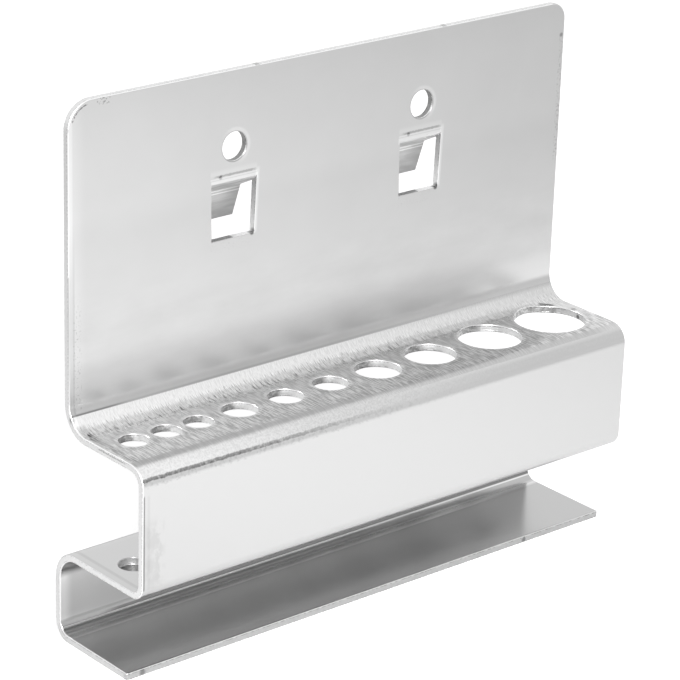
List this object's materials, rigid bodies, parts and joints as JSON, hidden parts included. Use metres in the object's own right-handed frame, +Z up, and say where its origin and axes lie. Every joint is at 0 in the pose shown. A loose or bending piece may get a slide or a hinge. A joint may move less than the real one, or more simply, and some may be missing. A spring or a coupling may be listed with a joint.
{
  "type": "wall panel socket organizer",
  "caption": "Folded sheet-metal rail that hangs on a perforated panel and holds upright bits, drivers and small sockets in a row of holes from small to large.",
  "frame": {"origin": "midway between the two screw holes, on the back plate's rear face, where the organizer lies against its panel", "axes": "+X along the organizer towards the large holes, +Y back into the panel, +Z up"},
  "size_m": [0.1, 0.0254, 0.0878],
  "materials": {
    "zinc_plated_steel": "bright zinc plating on rolled sheet steel, satin, with fine rolling and bending marks"
  },
  "bodies": {
    "root": {"folded_sheet": "zinc_plated_steel"}
  },
  "joints": []
}
